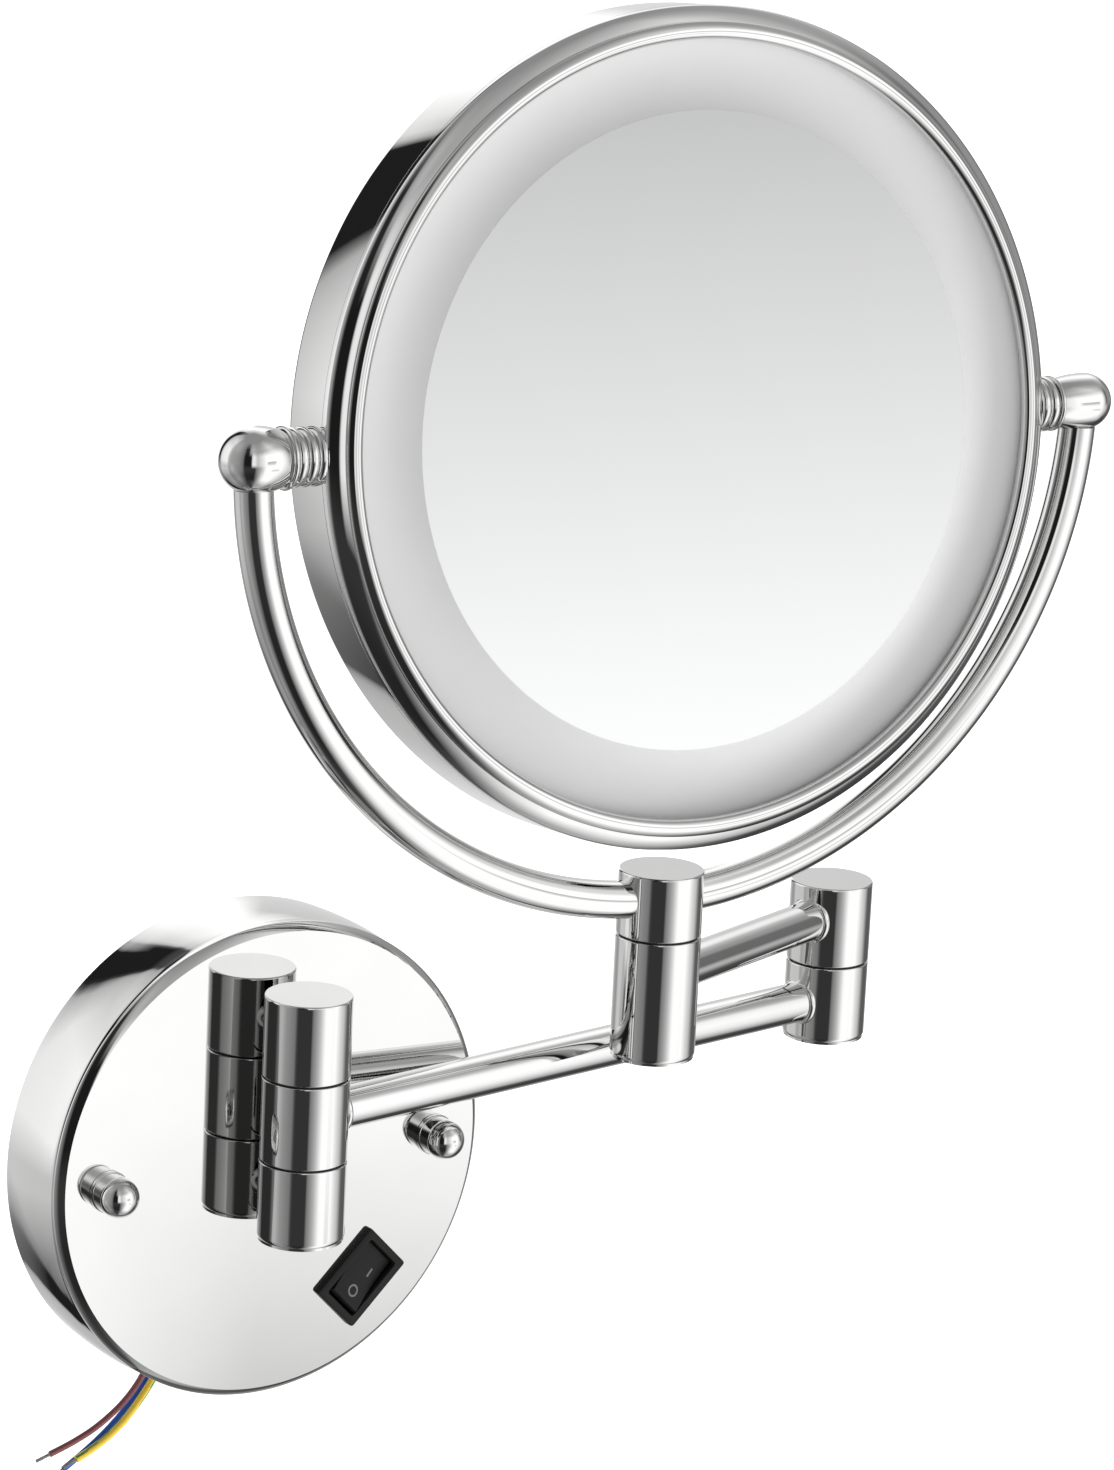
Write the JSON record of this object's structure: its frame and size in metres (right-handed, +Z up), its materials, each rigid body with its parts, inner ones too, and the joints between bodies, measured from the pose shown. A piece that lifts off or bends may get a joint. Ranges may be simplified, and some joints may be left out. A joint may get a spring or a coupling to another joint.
{
  "type": "extendable shaving mirror",
  "caption": "Wall-mounted shaving mirror with a frosted light ring: round plate with rocker switch, folding arm on barrel joints, and a mirror head that tilts in a half-round yoke.",
  "frame": {"origin": "centre of the back of the wall plate, on the wall", "axes": "+Z up, wall in the XZ plane at Y = 0, the mirror faces -Y"},
  "size_m": [0.288, 0.0753, 0.369],
  "materials": {
    "chrome_plate": "bright chrome plate, polished",
    "zinc_steel": "zinc-plated steel",
    "pin_steel": "turned steel",
    "tray_aluminium": "pressed aluminium, matt",
    "bush_bronze": "sintered bronze",
    "terminal_brass": "stamped brass tags",
    "washer_nylon": "black nylon",
    "switch_black": "black satin moulding",
    "driver_white": "white moulding",
    "terminal_ivory": "ivory moulding",
    "grommet_rubber": "black rubber",
    "lead_brown": "brown insulation",
    "lead_blue": "blue insulation",
    "lead_green_yellow": "green and yellow insulation",
    "tinned_copper": "tinned copper strands",
    "mirror_silver": "silvered glass",
    "frosted_glass": "etched, fine matt",
    "board_white": "white lamp board",
    "led_yellow": "phosphor yellow"
  },
  "bodies": {
    "wall_plate": {"cover": "chrome_plate", "back_plate": "zinc_steel", "plate_studs": "zinc_steel", "cap_nuts": "chrome_plate", "stiffener": "zinc_steel", "hinge_screws": "zinc_steel", "hinge_collars": "chrome_plate", "wall_barrel_top": "chrome_plate", "wall_barrel_bottom": "chrome_plate", "wall_pin": "pin_steel", "wall_washers": "washer_nylon", "switch_housing": "switch_black", "switch_terminals": "terminal_brass", "led_driver": "driver_white", "driver_strap": "zinc_steel", "terminal_block": "terminal_ivory", "lead_grommet": "grommet_rubber", "inner_leads": "lead_brown", "live_lead": "lead_brown", "neutral_lead": "lead_blue", "earth_lead": "lead_green_yellow", "lead_tips": "tinned_copper"},
    "rocker": {"rocker_paddle": "switch_black"},
    "lower_arm": {"wall_knuckle": "chrome_plate", "wall_bush": "bush_bronze", "lower_arm_tube": "chrome_plate", "elbow_knuckle_lower": "chrome_plate", "elbow_pin": "pin_steel", "elbow_washer": "washer_nylon"},
    "upper_arm": {"elbow_knuckle_upper": "chrome_plate", "elbow_bush": "bush_bronze", "upper_arm_tube": "chrome_plate", "yoke_knuckle": "chrome_plate", "yoke_pin": "pin_steel", "yoke_washer": "washer_nylon"},
    "yoke": {"yoke_hub": "chrome_plate", "yoke_bush": "bush_bronze", "yoke_tube_left": "chrome_plate", "yoke_tube_right": "chrome_plate", "left_knob": "chrome_plate", "right_finial": "chrome_plate", "tilt_screws": "zinc_steel", "tilt_nuts": "zinc_steel"},
    "head": {"front_rim": "chrome_plate", "head_drum": "chrome_plate", "mirror_glass": "mirror_silver", "light_ring": "frosted_glass", "core_plate": "tray_aluminium", "core_studs": "zinc_steel", "led_ring": "board_white", "leds": "led_yellow", "left_collar": "chrome_plate", "right_collar": "chrome_plate"}
  },
  "joints": [
    {"name": "wall_swing", "type": "hinge", "parent": "wall_plate", "child": "lower_arm", "pos_m": [0, -0.03695, 0.0156], "axis": [0, 0, -1], "range_deg": [0, 180]},
    {"name": "elbow", "type": "hinge", "parent": "lower_arm", "child": "upper_arm", "pos_m": [0.17467, -0.01539, 0.0259], "axis": [0, 0, 1], "range_deg": [0, 330]},
    {"name": "yoke_swivel", "type": "hinge", "parent": "upper_arm", "child": "yoke", "pos_m": [0.09999, -0.04113, 0.0496], "axis": [0, 0, 1], "range_deg": [-170, 170]},
    {"name": "mirror_tilt", "type": "hinge", "parent": "yoke", "child": "head", "pos_m": [0.09999, -0.04113, 0.1778], "axis": [0.9978, -0.0663, 0], "range_deg": [-90, 90]},
    {"name": "rocker_press", "type": "hinge", "parent": "wall_plate", "child": "rocker", "pos_m": [0.026, -0.0206, -0.034], "axis": [0.6947, 0, -0.7193], "range_deg": [0, 16]}
  ]
}
